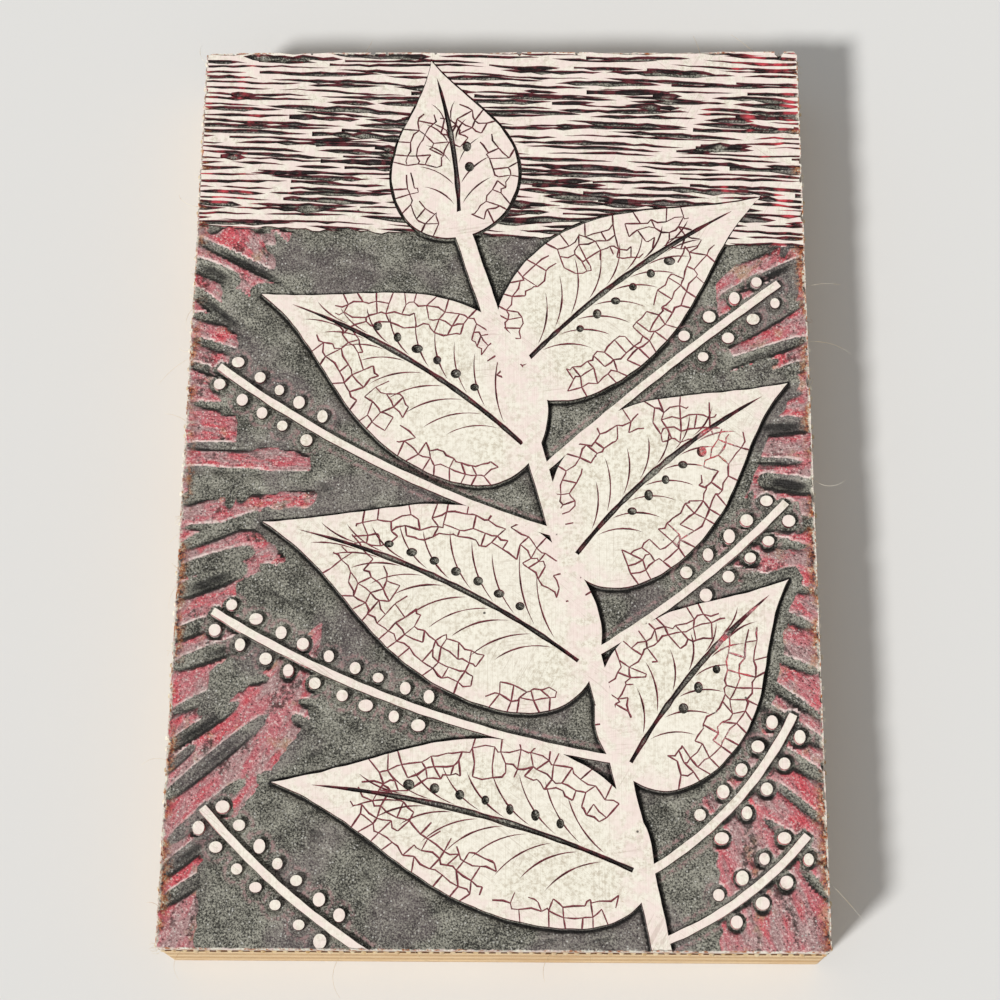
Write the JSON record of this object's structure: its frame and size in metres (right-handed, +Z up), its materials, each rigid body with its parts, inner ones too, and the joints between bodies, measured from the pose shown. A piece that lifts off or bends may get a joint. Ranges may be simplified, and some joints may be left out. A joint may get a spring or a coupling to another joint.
{
  "type": "letterpress printing block",
  "caption": "Type-high relief printing block: carved linoleum on jute canvas, glued to a laminated wooden base, lying face up.",
  "frame": {"origin": "centre of the block's underside, where it stands on the press bed", "axes": "+X to the right of the printing face, +Y towards its head, +Z up through the printing face"},
  "size_m": [0.1524, 0.2286, 0.0233],
  "materials": {
    "linoleum": "matt pale ground on the uncut face, inky dark cuts",
    "jute": "coarse plain weave with frayed cut edges",
    "mounting_glue": "brown, dried",
    "ply_glue": "dark brown, dried",
    "veneer": "sanded, bare",
    "core_ply": "sawn, bare"
  },
  "bodies": {
    "root": {"ply_1_back_veneer": "veneer", "glue_line_1": "ply_glue", "ply_2_crossband": "core_ply", "glue_line_2": "ply_glue", "ply_3_long_core": "core_ply", "glue_line_3": "ply_glue", "ply_4_centre_crossband": "core_ply", "glue_line_4": "ply_glue", "ply_5_long_core": "core_ply", "glue_line_5": "ply_glue", "ply_6_crossband": "core_ply", "glue_line_6": "ply_glue", "ply_7_top_veneer": "veneer", "mounting_glue": "mounting_glue", "jute_backing": "jute", "linoleum_sheet": "linoleum"}
  },
  "joints": []
}
